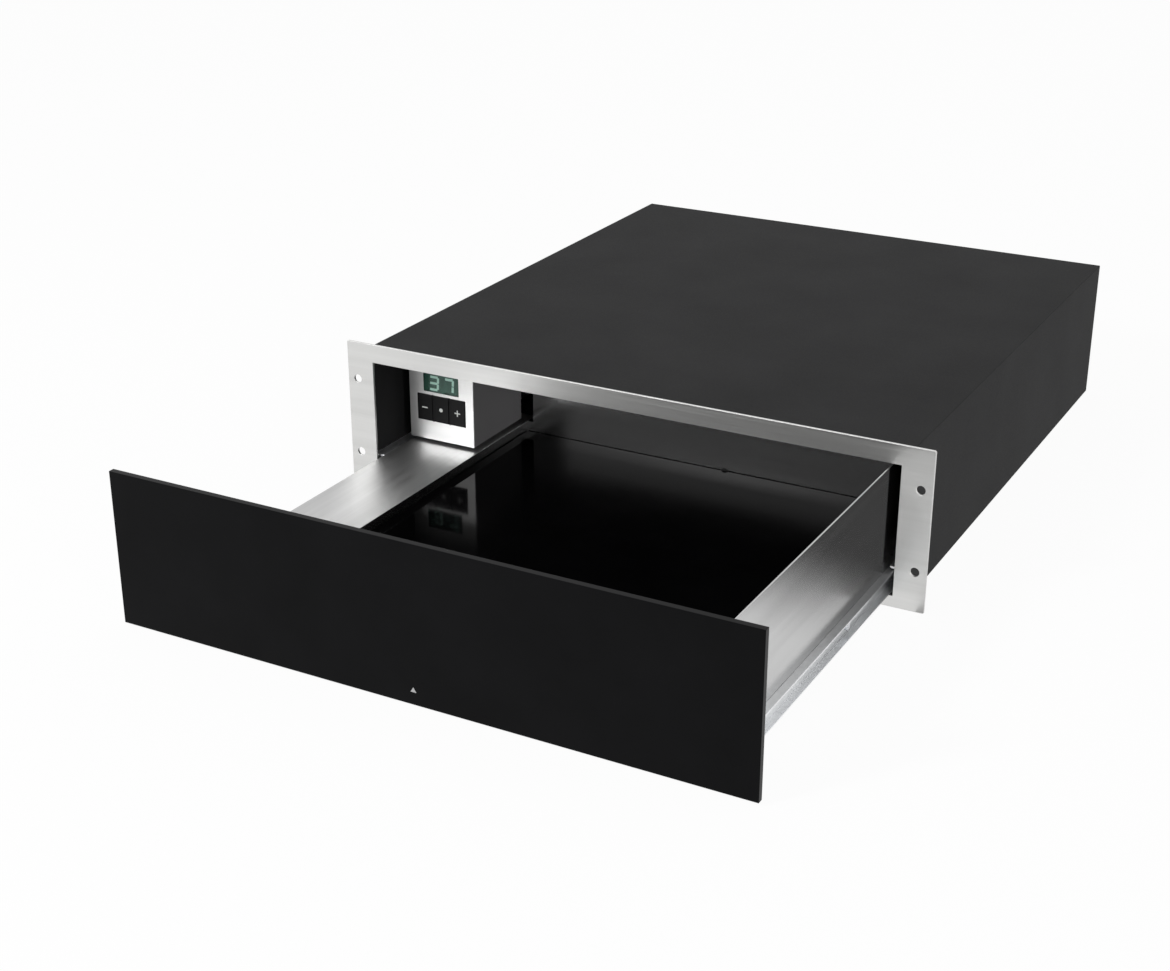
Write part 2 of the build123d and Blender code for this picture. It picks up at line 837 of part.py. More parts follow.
def make_tact_switches():
    half = switch_size / 2
    z = button_centre_height
    solids = []
    for x in button_places.values():
        face = board_front - switch_height
        body = block((x - half, x + half), (face, board_front), (z - half, z + half))
        bore_end = board_front - switch_floor
        solids.append(body - rod(stem_radius + stem_fit, (x, face, z), (x, bore_end, z)))
    return group(solids)


board_x = (control_left + board_margin, control_right - board_margin)
board_z = (control_bottom + board_margin, control_top - board_margin)


def make_control_board():
    return block(board_x, (board_front, board_front + board_thickness), board_z)


def on_board_back(size, left, low):
    """A component of a given size on the back of the control board."""
    back = board_front + board_thickness
    return block((left, left + size[0]), (back, back + size[1]), (low, low + size[2]))


def make_board_components():
    """Relay, terminal block and controller chip on the back of the board."""
    low = board_z[0] + component_margin
    relay = on_board_back(relay_size, control_middle - relay_size[0], low)
    terminals = on_board_back(terminal_size, control_middle + terminal_gap, low)
    chip = on_board_back(chip_size, control_middle - chip_size[0] / 2, board_z[0] + chip_height)
    return group([relay, terminals, chip])


def make_board_spacers():
    return group(
        rod(spacer_radius, (x, faceplate_back, z), (x, board_front, z))
        for x in (board_x[0] + spacer_inset, board_x[1] - spacer_inset)
        for z in (board_z[0] + spacer_inset, board_z[1] - spacer_inset)
    )


# ---------------------------------------------------------------- supply, inlet and leads

supply_x = (case_inner - supply_right_gap - supply_size[0], case_inner - supply_right_gap)
supply_y = (cover_depth - supply_rear_gap - supply_size[1], cover_depth - supply_rear_gap)
supply_z = (pan_sheet, pan_sheet + supply_size[2])
inlet_back = case_depth - inlet_body_depth


def make_supply_case():
    """Folded cage open at its left end."""
    box = block(supply_x, supply_y, supply_z)
    inside_x = (supply_x[0], supply_x[1] - supply_sheet)
    inside_y = (supply_y[0] + supply_sheet, supply_y[1] - supply_sheet)
    inside_z = (supply_z[0] + supply_sheet, supply_z[1] - supply_sheet)
    return box - block(inside_x, inside_y, inside_z)


def make_supply_board():
    """Circuit board on four spacers with its transformer, capacitors and coil."""
    x = (supply_x[0] + supply_board_margin, supply_x[1] - supply_sheet - supply_board_margin)
    y = (supply_y[0] + supply_board_margin, supply_y[1] - supply_board_margin)
    low = supply_z[0] + supply_board_height
    top = low + board_thickness
    floor = supply_z[0] + supply_sheet
    solids = [block(x, y, (low, top))]
    for size, place in ((transformer_size, transformer_place), (coil_size, coil_place)):
        left = x[0] + place[0]
        front = y[0] + place[1]
        solids.append(block((left, left + size[0]), (front, front + size[1]), (top, top + size[2])))
    cap_y = y[0] + capacitor_place[1]
    for cap_x in row(2, capacitor_pitch, x[0] + capacitor_place[0]):
        solids.append(rod(capacitor_radius, (cap_x, cap_y, top), (cap_x, cap_y, top + capacitor_height)))
    for leg_x in (x[0] + supply_leg_inset, x[1] - supply_leg_inset):
        for leg_y in (y[0] + supply_leg_inset, y[1] - supply_leg_inset):
            solids.append(rod(spacer_radius, (leg_x, leg_y, floor), (leg_x, leg_y, low)))
    return group(solids)


def make_mains_inlet():
    """Moulded appliance inlet: flange outside the rear panel, recess for the mains connector."""
    half_x = inlet_body_width / 2
    half_z = inlet_body_height / 2
    x = (inlet_x - half_x, inlet_x + half_x)
    z = (inlet_height - half_z, inlet_height + half_z)
    outer = case_depth + inlet_flange_thickness
    body = block(x, (inlet_back, case_depth), z)
    flange_x = (inlet_x - inlet_flange_width / 2, inlet_x + inlet_flange_width / 2)
    flange_z = (inlet_height - inlet_flange_height / 2, inlet_height + inlet_flange_height / 2)
    flange = block(flange_x, (case_depth, outer), flange_z)
    body += fillet(flange.edges().filter_by(Axis.Y), inlet_flange_thickness)
    recess_x = (inlet_x - inlet_recess_width / 2, inlet_x + inlet_recess_width / 2)
    recess_z = (inlet_height - inlet_recess_height / 2, inlet_height + inlet_recess_height / 2)
    recess = block(recess_x, (outer - inlet_recess_depth, outer), recess_z)
    upper_edges = recess.edges().filter_by(Axis.Y).group_by(Axis.Z)[-1]
    body -= chamfer(upper_edges, inlet_recess_height / 4)
    for screw_x in row(2, inlet_screw_pitch, inlet_x):
        body -= rod(free_hole_radius, (screw_x, case_depth, inlet_height), (screw_x, outer, inlet_height))
    return body


def make_inlet_pins():
    start = case_depth + inlet_flange_thickness - inlet_recess_depth
    width, height, length = inlet_pin_size
    places = [(-inlet_pin_spread, 0.0), (0.0, inlet_earth_drop), (inlet_pin_spread, 0.0)]
    solids = []
    for dx, dz in places:
        x = inlet_x + dx
        z = inlet_height + dz - inlet_earth_drop / 2
        solids.append(
            block((x - width / 2, x + width / 2), (start, start + length), (z - height / 2, z + height / 2))
        )
    return group(solids)


def make_inlet_screws():
    outer = case_depth + inlet_flange_thickness
    grip = inlet_flange_thickness + rear_sheet
    return group(
        pan_head_screw((x, outer, inlet_height), (0, -1, 0), grip)
        for x in row(2, inlet_screw_pitch, inlet_x)
    )


lead_floor = pan_sheet + lead_radius + lead_lift
grommet_back = rear_wall_back + grommet_lip
clip_y = grommet_back + clip_reach


def make_lead_grommet():
    """Rubber ring that lines the hole in the drawer's rear wall and grips the heater lead."""
    x, z = lead_exit_x, lead_exit_height
    neck = rod(grommet_neck - grommet_fit, (x, rear_wall_front, z), (x, rear_wall_back, z))
    lip = rod(grommet_radius, (x, rear_wall_back, z), (x, grommet_back, z))
    return neck + lip


def make_heater_lead():
    """Flexible lead from the drawer to the fixed clip, at rest with the drawer open."""
    heights = (lead_exit_height, lead_floor, lead_floor)
    points = [(lead_exit_x, grommet_back, lead_exit_height)]
    for (dx, dy), z in zip(heater_lead_route, heights):
        points.append((lead_exit_x + dx, grommet_back + dy, z))
    points += [(clip_x, clip_y - clip_run, lead_floor), (clip_x, clip_y, lead_floor)]
    return tube(points, heater_lead_bends)


def make_lead_clip():
    """Clip on the floor of the case where the moving lead is held."""
    half = lead_radius + clip_wall
    span = (clip_y, clip_y + clip_length)
    return block((clip_x - half, clip_x + half), span, (pan_sheet, lead_floor + half))


def make_supply_lead():
    """Fixed lead that runs straight from the clip to the supply, low under the shut drawer."""
    return rod(lead_radius, (clip_x, clip_y + clip_length, lead_floor), (clip_x, supply_y[0], lead_floor))


def make_control_lead():
    """Fixed lead from the control unit along the roof's left corner to the supply."""
    corner_x = control_left + control_lead_inset
    roof_height = control_top - control_lead_drop
    rear_y = supply_y[1] - side_lead_inset
    floor_height = supply_z[1] / 2
    step_x, step_z = control_lead_step
    points = [
        (corner_x, control_back, roof_height),
        (corner_x, rear_y - control_lead_slope, roof_height),
        (corner_x, rear_y, floor_height + step_z),
        (corner_x + step_x, rear_y, floor_height),
        (supply_x[0], rear_y, floor_height),
    ]
    return tube(points, control_lead_bends)


def make_mains_lead():
    """Short lead from the inlet's terminals down to the supply."""
    y = supply_y[1] - mains_lead_inset
    points = [(inlet_x, inlet_back, inlet_height), (inlet_x, y, inlet_height), (inlet_x, y, supply_z[1])]
    return tube(points, [mains_lead_bend])


# ---------------------------------------------------------------- touch latch

latch_half = latch_width / 2
latch_floor = latch_height - latch_thickness / 2
magnet_front = strike_shut + latch_reach_gap
bore_depth = latch_depth - 2 * bracket_sheet
spring_start = latch_front + plunger_inside
spring_end = latch_front + bore_depth


def make_latch_body():
    z = (latch_floor, latch_floor + latch_thickness)
    body = block((-latch_half, latch_half), (latch_front, latch_front + latch_depth), z)
    bore = plunger_radius + plunger_fit
    return body - rod(bore, (0, latch_front, latch_height), (0, spring_end, latch_height))


def make_latch_plunger():
    """Spring-loaded rod with the magnet that holds the shut drawer."""
    magnet_back = magnet_front + magnet_thickness
    tip = rod(magnet_radius, (0, magnet_front, latch_height), (0, magnet_back, latch_height))
    return tip + rod(plunger_radius, (0, magnet_back, latch_height), (0, spring_start, latch_height))


def make_latch_spring():
    """Coil spring between the plunger and the end of its bore."""
    start = spring_start + spring_end_gap + spring_wire
    height = spring_end - spring_end_gap - spring_wire - start
    path = Helix(height / spring_turns, height, spring_radius)
    profile = Plane(origin=path @ 0, z_dir=path % 0) * Circle(spring_wire)
    coil = sweep(profile, path=path, is_frenet=True)
    return Pos(0, start, latch_height) * Rot(X=-90) * coil


def make_latch_bracket():
    """Angle that carries the latch above the floor of the case."""
    x = (-bracket_foot / 2, bracket_foot / 2)
    start = latch_front + bracket_sheet
    y = (start, start + bracket_depth)
    post_y = (y[1] - bracket_sheet, y[1])
    foot = block(x, y, (pan_sheet, pan_sheet + bracket_sheet))
    post = block(x, post_y, (pan_sheet, latch_floor))
    shelf = block(x, y, (latch_floor - bracket_sheet, latch_floor))
    return foot + post + shelf


pieces = {
    "front_frame": make_front_frame(),
    "frame_nuts": make_frame_nuts(),
    "case_cover": make_case_cover(),
    "base_pan": make_base_pan(),
    "base_screws": make_base_screws(),
    "rear_panel": make_rear_panel(),
    "rear_screws": make_rear_screws(),
    "slide_outer_left": make_slide_outer(-1),
    "slide_outer_right": make_slide_outer(1),
    "slide_nuts": make_slide_nuts(),
    "slide_inner_left": make_slide_inner(-1),
    "slide_inner_right": make_slide_inner(1),
    "drawer_slide_screws": make_drawer_slide_screws(),
    "cage_left": make_cage(-1),
    "cage_right": make_cage(1),
    "balls_left": make_balls(-1),
    "balls_right": make_balls(1),
    "drawer_tray": make_drawer_tray(),
    "drawer_rear_wall": make_drawer_rear_wall(),
    "rear_wall_rivets": make_rear_wall_rivets(),
    "front_glass": make_front_glass(),
    "panel_backplate": make_panel_backplate(),
    "panel_bumpers": make_panel_bumpers(),
    "panel_screws": make_panel_screws(),
    "heating_plate": make_heating_plate(),
    "plate_gasket": make_plate_gasket(),
    "plate_bearer": make_plate_bearer(),
    "heating_foil": make_heating_foil(),
    "insulation_mat": make_insulation_mat(),
    "temperature_sensor": sensor_block(0),
    "thermal_cutout": cutout_disc(0),
    "latch_strike": make_latch_strike(),
    "lead_grommet": make_lead_grommet(),
    "heater_lead": make_heater_lead(),
    "control_housing": make_control_housing(),
    "control_faceplate": make_control_faceplate(),
    "display_window": make_display_window(),
    "display_module": make_display_module(),
    "tact_switches": make_tact_switches(),
    "control_board": make_control_board(),
    "board_components": make_board_components(),
    "board_spacers": make_board_spacers(),
    "supply_case": make_supply_case(),
    "supply_board": make_supply_board(),
    "mains_inlet": make_mains_inlet(),
    "inlet_pins": make_inlet_pins(),
    "inlet_screws": make_inlet_screws(),
    "lead_clip": make_lead_clip(),
    "supply_lead": make_supply_lead(),
    "control_lead": make_control_lead(),
    "mains_lead": make_mains_lead(),
    "latch_body": make_latch_body(),
    "latch_plunger": make_latch_plunger(),
    "latch_spring": make_latch_spring(),
    "latch_bracket": make_latch_bracket(),
}
for name, x in button_places.items():
    pieces[name] = make_button(x)

os.makedirs("parts", exist_ok=True)
for name, shape in pieces.items():
    save(name, shape)
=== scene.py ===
from math import cos, pi, radians, sin

import bmesh
import bpy
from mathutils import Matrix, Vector


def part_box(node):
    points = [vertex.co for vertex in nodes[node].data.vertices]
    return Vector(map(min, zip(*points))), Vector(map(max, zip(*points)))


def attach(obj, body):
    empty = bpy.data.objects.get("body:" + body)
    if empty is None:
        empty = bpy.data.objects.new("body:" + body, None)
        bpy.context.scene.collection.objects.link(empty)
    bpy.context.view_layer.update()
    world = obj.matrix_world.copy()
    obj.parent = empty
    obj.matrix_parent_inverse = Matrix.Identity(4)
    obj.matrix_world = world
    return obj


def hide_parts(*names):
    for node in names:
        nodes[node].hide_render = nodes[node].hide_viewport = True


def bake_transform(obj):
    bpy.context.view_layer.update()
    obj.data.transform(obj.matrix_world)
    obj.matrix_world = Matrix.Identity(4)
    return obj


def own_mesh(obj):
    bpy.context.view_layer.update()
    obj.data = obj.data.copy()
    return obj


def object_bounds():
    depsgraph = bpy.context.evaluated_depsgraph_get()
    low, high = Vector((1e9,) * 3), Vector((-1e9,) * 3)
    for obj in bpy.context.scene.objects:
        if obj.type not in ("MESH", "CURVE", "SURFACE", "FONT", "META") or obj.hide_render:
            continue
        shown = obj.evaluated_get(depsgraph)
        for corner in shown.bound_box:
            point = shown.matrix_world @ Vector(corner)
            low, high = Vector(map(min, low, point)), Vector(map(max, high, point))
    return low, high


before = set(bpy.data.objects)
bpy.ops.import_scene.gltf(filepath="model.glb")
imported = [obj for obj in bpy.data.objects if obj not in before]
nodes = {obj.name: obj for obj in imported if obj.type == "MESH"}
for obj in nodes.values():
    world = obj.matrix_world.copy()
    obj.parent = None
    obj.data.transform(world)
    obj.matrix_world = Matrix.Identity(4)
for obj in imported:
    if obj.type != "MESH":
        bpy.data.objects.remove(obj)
cad_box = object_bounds()


# ---- Front frame: a laser-cut 2 mm stainless plate with the two mounting ears. Its face is brushed
# ---- along its width. Eight studs welded to its back hold it to the case with nuts.

def shader_group(name, outputs):
    """A shader node group with named float outputs, and its output node."""
    group = bpy.data.node_groups.new(name, "ShaderNodeTree")
    for label in outputs:
        group.interface.new_socket(name=label, in_out="OUTPUT", socket_type="NodeSocketFloat")
    return group, group.nodes.new("NodeGroupOutput")


def stretched_noise(tree, way, along, across, detail):
    """Noise drawn out along the axis called way, from its scales along and across that axis."""
    place = tree.nodes.new("ShaderNodeTexCoord")
    scale = tree.nodes.new("ShaderNodeMapping")
    scale.inputs["Scale"].default_value = [along if axis == way else across for axis in "xyz"]
    noise = tree.nodes.new("ShaderNodeTexNoise")
    noise.inputs["Scale"].default_value = 1.0
    noise.inputs["Detail"].default_value = detail
    tree.links.new(place.outputs["Object"], scale.inputs["Vector"])
    tree.links.new(scale.outputs["Vector"], noise.inputs["Vector"])
    return noise.outputs["Fac"]


def even_noise(tree, size, detail, roughness=0.55):
    """Noise with grains of one size, in metres."""
    place = tree.nodes.new("ShaderNodeTexCoord")
    noise = tree.nodes.new("ShaderNodeTexNoise")
    noise.inputs["Scale"].default_value = 1.0 / size
    noise.inputs["Detail"].default_value = detail
    noise.inputs["Roughness"].default_value = roughness
    tree.links.new(place.outputs["Object"], noise.inputs["Vector"])
    return noise.outputs["Fac"]


def spread_range(tree, source, low, high):
    """Spreads the middle stretch of a noise, where nearly all its values lie, over low..high."""
    noise_low, noise_high = 0.3, 0.7
    node = tree.nodes.new("ShaderNodeMapRange")
    node.inputs["From Min"].default_value = noise_low
    node.inputs["From Max"].default_value = noise_high
    node.inputs["To Min"].default_value = low
    node.inputs["To Max"].default_value = high
    tree.links.new(source, node.inputs["Value"])
    return node.outputs["Result"]


brushing = {}
for axis in "xy":
    group, result = shader_group(f"brushing_along_{axis}", ["Lines", "Streaks"])
    fine_lines = stretched_noise(group, axis, along=6, across=1400, detail=3)
    wide_streaks = stretched_noise(group, axis, along=2, across=90, detail=4)
    group.links.new(fine_lines, result.inputs["Lines"])
    group.links.new(wide_streaks, result.inputs["Streaks"])
    brushing[axis] = group

handling, result = shader_group("handling_marks", ["Smudge", "Fine"])
handling.links.new(even_noise(handling, 0.07, 4), result.inputs["Smudge"])
handling.links.new(even_noise(handling, 0.0012, 3), result.inputs["Fine"])


def principled(name, colour, roughness, metallic=0.0):
    """A material, its Principled shader and its node tree."""
    made = bpy.data.materials.new(name)
    made.use_nodes = True
    shader = made.node_tree.nodes["Principled BSDF"]
    shader.inputs["Base Color"].default_value = (*colour, 1)
    shader.inputs["Roughness"].default_value = roughness
    shader.inputs["Metallic"].default_value = metallic
    made.diffuse_color = (*colour, 1)
    return made, shader, made.node_tree


def place_group(tree, group):
    """One use of a shared node group in a material's tree."""
    node = tree.nodes.new("ShaderNodeGroup")
    node.node_tree = group
    return node


def tint(tree, shader, factor, dark, light):
    """Base colour that runs between two tones by a mask."""
    mix = tree.nodes.new("ShaderNodeMix")
    mix.data_type = "RGBA"
    mix.inputs["A"].default_value = (*dark, 1)
    mix.inputs["B"].default_value = (*light, 1)
    tree.links.new(factor, mix.inputs["Factor"])
    tree.links.new(mix.outputs["Result"], shader.inputs["Base Color"])


def bump(tree, shader, height, distance, strength):
    """Relief of a given depth in metres, from a mask."""
    node = tree.nodes.new("ShaderNodeBump")
    node.inputs["Distance"].default_value = distance
    node.inputs["Strength"].default_value = strength
    tree.links.new(height, node.inputs["Height"])
    tree.links.new(node.outputs["Normal"], shader.inputs["Normal"])


def brushed_metal(name, dark, light, roughness, axis):
    """Brushed sheet: wide streaks in its tone, fine lines in its roughness and relief."""
    made, shader, tree = principled(name, light, roughness[0], 1.0)
    lines = place_group(tree, brushing[axis])
    tint(tree, shader, spread_range(tree, lines.outputs["Streaks"], 0, 1), dark, light)
    tree.links.new(spread_range(tree, lines.outputs["Lines"], *roughness), shader.inputs["Roughness"])
    bump(tree, shader, lines.outputs["Lines"], 0.00001, 0.5)
    return made


def soften(name, radius):
    """Rounds a CAD node's edges as shown, with its own mesh left as it is."""
    piece = nodes[name]
    weld = piece.modifiers.new("weld", "WELD")
    weld.merge_threshold = 0.000002
    flat = piece.modifiers.new("flat", "DECIMATE")
    flat.decimate_type = "DISSOLVE"
    flat.angle_limit = radians(0.5)
    edge = piece.modifiers.new("edge", "BEVEL")
    edge.width = radius
    edge.segments = 2
    edge.limit_method = "ANGLE"
    edge.angle_limit = radians(50)
    edge.use_clamp_overlap = False
    edge.harden_normals = True


def dress(material, *names, edge=0.0):
    """Gives CAD nodes their material, and their edges a small radius."""
    for name in names:
        nodes[name].data.materials.clear()
        nodes[name].data.materials.append(material)
        if edge:
            soften(name, edge)


frame_steel = brushed_metal("frame_steel", (0.60, 0.60, 0.59), (0.70, 0.70, 0.69), (0.34, 0.46), "x")
dress(frame_steel, "front_frame", edge=0.00025)


# ---- Case: roof and sides folded from one steel sheet, with a floor pan and a rear panel screwed to
# ---- it. All are powder-coated in a fine matt black with a slight orange-peel texture.

powder, result = shader_group("powder_texture", ["Peel", "Grain"])
powder.links.new(even_noise(powder, 0.0016, 2), result.inputs["Peel"])
powder.links.new(even_noise(powder, 0.0005, 1), result.inputs["Grain"])

case_paint, shader, tree = principled("case_powder_coat", (0.021, 0.021, 0.0215), 0.6)
texture = place_group(tree, powder)
marks = place_group(tree, handling)
smudge = spread_range(tree, marks.outputs["Smudge"], 0, 1)
tint(tree, shader, smudge, (0.018, 0.018, 0.0185), (0.024, 0.024, 0.0245))
tree.links.new(spread_range(tree, texture.outputs["Grain"], 0.55, 0.7), shader.inputs["Roughness"])
bump(tree, shader, texture.outputs["Peel"], 0.00004, 0.6)
shader.inputs["Specular IOR Level"].default_value = 0.05
dress(case_paint, "case_cover", "rear_panel", edge=0.0005)
dress(case_paint, "base_pan", edge=0.0003)


# ---- Drawer tray: one folding of satin stainless sheet, with a low deck beside the well. The rear
# ---- wall is a second sheet, riveted to the tray's floor and right side.

def polish_uprights(made, roughness):
    """Leaves a metal's level faces brushed and gives its upright faces a smoother finish."""
    tree = made.node_tree
    shader = tree.nodes["Principled BSDF"]
    brushed = shader.inputs["Roughness"].links[0].from_socket
    way = tree.nodes.new("ShaderNodeTexCoord")
    parts = tree.nodes.new("ShaderNodeSeparateXYZ")
    tree.links.new(way.outputs["Normal"], parts.inputs["Vector"])
    level = tree.nodes.new("ShaderNodeMath")
    level.operation = "ABSOLUTE"
    tree.links.new(parts.outputs["Z"], level.inputs[0])
    mix = tree.nodes.new("ShaderNodeMix")
    mix.inputs["A"].default_value = roughness
    tree.links.new(level.outputs[0], mix.inputs["Factor"])
    tree.links.new(brushed, mix.inputs["B"])
    tree.links.new(mix.outputs["Result"], shader.inputs["Roughness"])


tray_steel = brushed_metal("tray_steel", (0.50, 0.50, 0.50), (0.58, 0.58, 0.58), (0.36, 0.48), "y")
polish_uprights(tray_steel, 0.24)
wall_steel = brushed_metal("rear_wall_steel", (0.66, 0.66, 0.66), (0.73, 0.73, 0.73), (0.17, 0.22), "x")
dress(tray_steel, "drawer_tray", edge=0.0004)
dress(wall_steel, "drawer_rear_wall", edge=0.0004)


# ---- Front panel: a black float-glass plate, back-printed black, with ground edges. It is bonded to
# ---- a zinc-plated steel plate that is screwed to the tray's front wall.

panel_glass, shader, tree = principled("panel_glass", (0.006, 0.006, 0.0065), 0.09)
marks = place_group(tree, handling)
smudge = spread_range(tree, marks.outputs["Smudge"], 0, 1)
tint(tree, shader, smudge, (0.0028, 0.0028, 0.0031), (0.0045, 0.0045, 0.005))
tree.links.new(spread_range(tree, marks.outputs["Smudge"], 0.06, 0.16), shader.inputs["Roughness"])
shader.inputs["Specular IOR Level"].default_value = 0.055
dress(panel_glass, "front_glass", edge=0.00015)

zinc, result = shader_group("zinc_spangle", ["Spangle"])
cells = zinc.nodes.new("ShaderNodeTexVoronoi")
cells.inputs["Scale"].default_value = 260
coordinates = zinc.nodes.new("ShaderNodeTexCoord")
zinc.links.new(coordinates.outputs["Object"], cells.inputs["Vector"])
zinc.links.new(cells.outputs["Distance"], result.inputs["Spangle"])


def zinc_metal(name, dark, light, roughness):
    """Zinc-plated or plain bright metal: a crystal pattern in its tone, a fine grain in its sheen."""
    made, shader, tree = principled(name, light, roughness[0], 1.0)
    spangle = place_group(tree, zinc)
    marks = place_group(tree, handling)
    tint(tree, shader, spangle.outputs["Spangle"], dark, light)
    tree.links.new(spread_range(tree, marks.outputs["Fine"], *roughness), shader.inputs["Roughness"])
    bump(tree, shader, marks.outputs["Fine"], 0.00002, 0.4)
    return made


zinc_plate = zinc_metal("zinc_plate", (0.46, 0.47, 0.48), (0.56, 0.57, 0.58), (0.26, 0.4))
fastener_zinc = zinc_metal("fastener_zinc", (0.55, 0.57, 0.60), (0.70, 0.71, 0.73), (0.2, 0.34))
dress(zinc_plate, "panel_backplate", edge=0.0002)
dress(fastener_zinc, "panel_screws", "frame_nuts", "rear_wall_rivets", "slide_nuts", "drawer_slide_screws")


def moulded(name, colour, roughness, grain=0.00002):
    """Moulded plastic or rubber with a fine mould grain and slightly uneven sheen."""
    made, shader, tree = principled(name, colour, roughness)
    marks = place_group(tree, handling)
    darker = tuple(0.85 * c for c in colour)
    tint(tree, shader, spread_range(tree, marks.outputs["Smudge"], 0, 1), darker, colour)
    sheen = spread_range(tree, marks.outputs["Fine"], roughness - 0.06, roughness + 0.06)
    tree.links.new(sheen, shader.inputs["Roughness"])
    bump(tree, shader, marks.outputs["Fine"], grain, 0.5)
    return made


silicone_black = moulded("silicone_black", (0.03, 0.03, 0.03), 0.62)
dress(silicone_black, "panel_bumpers", "plate_gasket", "lead_grommet")


# ---- Push mark: a plain printed triangle at the foot of the glass, where the shut drawer is pushed
# ---- to release it. Light grey ceramic ink, fired on.

def flat_shape(name, outline, y, thickness, material, body):
    """A thin shape that stands on a face turned to the front, from its outline in X and Z."""
    mesh = bpy.data.meshes.new(name)
    form = bmesh.new()
    for loop in outline:
        front = [form.verts.new((x, y - thickness, z)) for x, z in loop]
        back = [form.verts.new((x, y, z)) for x, z in loop]
        form.faces.new(front)
        form.faces.new(back[::-1])
        for i in range(len(loop)):
            j = (i + 1) % len(loop)
            form.faces.new((front[j], front[i], back[i], back[j]))
    bmesh.ops.recalc_face_normals(form, faces=form.faces)
    form.to_mesh(mesh)
    form.free()
    piece = bpy.data.objects.new(name, mesh)
    bpy.context.scene.collection.objects.link(piece)
    mesh.materials.append(material)
    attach(piece, body)
    return piece


print_ink = moulded("printed_ink", (0.42, 0.42, 0.42), 0.5)
mark_half_width, mark_height, mark_above_edge, ink_thickness = 0.0022, 0.0036, 0.0095, 0.00002
glass_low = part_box("front_glass")[0]
mark_z = glass_low.z + mark_above_edge
mark = [(-mark_half_width, mark_z), (mark_half_width, mark_z), (0, mark_z + mark_height)]
flat_shape("push_mark", [mark], glass_low.y, ink_thickness, print_ink, "drawer")


# ---- Ball slides: outer channels bolted inside the case, inner channels screwed to the tray, and a
# ---- punched cage with sixteen steel balls between them on each side. All bright zinc or hard steel.

slide_zinc = zinc_metal("slide_zinc", (0.84, 0.85, 0.86), (0.90, 0.91, 0.92), (0.36, 0.5))
for part in ("outer", "inner"):
    dress(slide_zinc, f"slide_{part}_left", f"slide_{part}_right", edge=0.0003)
dress(slide_zinc, "cage_left", "cage_right", edge=0.0001)
ball_steel = zinc_metal("ball_steel", (0.7, 0.7, 0.72), (0.8, 0.8, 0.82), (0.08, 0.14))
dress(ball_steel, "balls_left", "balls_right")


# ---- Heated plate: black glass-ceramic lying on a rubber ring in the well, with the heating foil
# ---- bonded under it, a sensor, a thermal cut-out and a mineral wool mat below.

plate_glass, shader, tree = principled("plate_glass", (0.004, 0.004, 0.0045), 0.05)
marks = place_group(tree, handling)
smudge = spread_range(tree, marks.outputs["Smudge"], 0, 1)
tint(tree, shader, smudge, (0.0012, 0.0012, 0.0013), (0.0022, 0.0022, 0.0024))
tree.links.new(spread_range(tree, marks.outputs["Smudge"], 0.04, 0.12), shader.inputs["Roughness"])
shader.inputs["Specular IOR Level"].default_value = 0.03
dress(plate_glass, "heating_plate", edge=0.0005)
dress(zinc_plate, "plate_bearer", edge=0.0003)
dress(moulded("silicone_orange", (0.5, 0.11, 0.03), 0.5), "heating_foil")
dress(moulded("mineral_mat", (0.62, 0.58, 0.48), 0.9, 0.0004), "insulation_mat")
sensor_metal = zinc_metal("sensor_metal", (0.6, 0.6, 0.6), (0.75, 0.75, 0.75), (0.3, 0.45))
dress(sensor_metal, "temperature_sensor", "thermal_cutout")


# ---- Control unit: a grey painted steel box hung from the roof behind a brushed stainless faceplate.
# ---- It holds the board with the display, the three key switches and other components.

unit_paint, shader, tree = principled("unit_paint", (0.21, 0.205, 0.21), 0.45)
texture = place_group(tree, powder)
marks = place_group(tree, handling)
smudge = spread_range(tree, marks.outputs["Smudge"], 0, 1)
tint(tree, shader, smudge, (0.2, 0.195, 0.2), (0.22, 0.215, 0.22))
tree.links.new(spread_range(tree, texture.outputs["Grain"], 0.4, 0.52), shader.inputs["Roughness"])
bump(tree, shader, texture.outputs["Peel"], 0.00003, 0.5)
dress(unit_paint, "control_housing", edge=0.0004)
face_steel = brushed_metal("face_steel", (0.76, 0.76, 0.76), (0.83, 0.83, 0.82), (0.4, 0.5), "x")
dress(face_steel, "control_faceplate", edge=0.00015)
switch_black = moulded("switch_black", (0.03, 0.03, 0.03), 0.5)
dress(switch_black, "tact_switches", "board_components")
dress(moulded("solder_resist", (0.02, 0.15, 0.06), 0.35), "control_board", "supply_board")
nylon = moulded("nylon", (0.72, 0.71, 0.66), 0.45)
dress(nylon, "board_spacers", "lead_clip")
dress(moulded("display_body", (0.10, 0.15, 0.135), 0.35), "display_module")


# ---- Display: two seven-segment digits behind a green-tinted window that is set into the faceplate.
# ---- The lit segments are white, and the window tints them.

window_low, window_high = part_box("display_window")
window_glass, shader, tree = principled("window_tint", (0.62, 0.84, 0.76), 0.06)
marks = place_group(tree, handling)
smudge = spread_range(tree, marks.outputs["Smudge"], 0, 1)
tint(tree, shader, smudge, (0.6, 0.82, 0.74), (0.64, 0.86, 0.78))
tree.links.new(spread_range(tree, marks.outputs["Smudge"], 0.04, 0.1), shader.inputs["Roughness"])
shader.inputs["Transmission Weight"].default_value = 1.0
shader.inputs["IOR"].default_value = 1.3
shader.inputs["Specular IOR Level"].default_value = 0.2
pane = [
    (window_low.x, window_low.z), (window_high.x, window_low.z),
    (window_high.x, window_high.z), (window_low.x, window_high.z),
]
pane_thickness = 0.0009
pane_back = window_low.y + pane_thickness
window = flat_shape(
    "display_window_pane", [pane], pane_back, pane_thickness, window_glass, "case"
)
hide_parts("display_window")

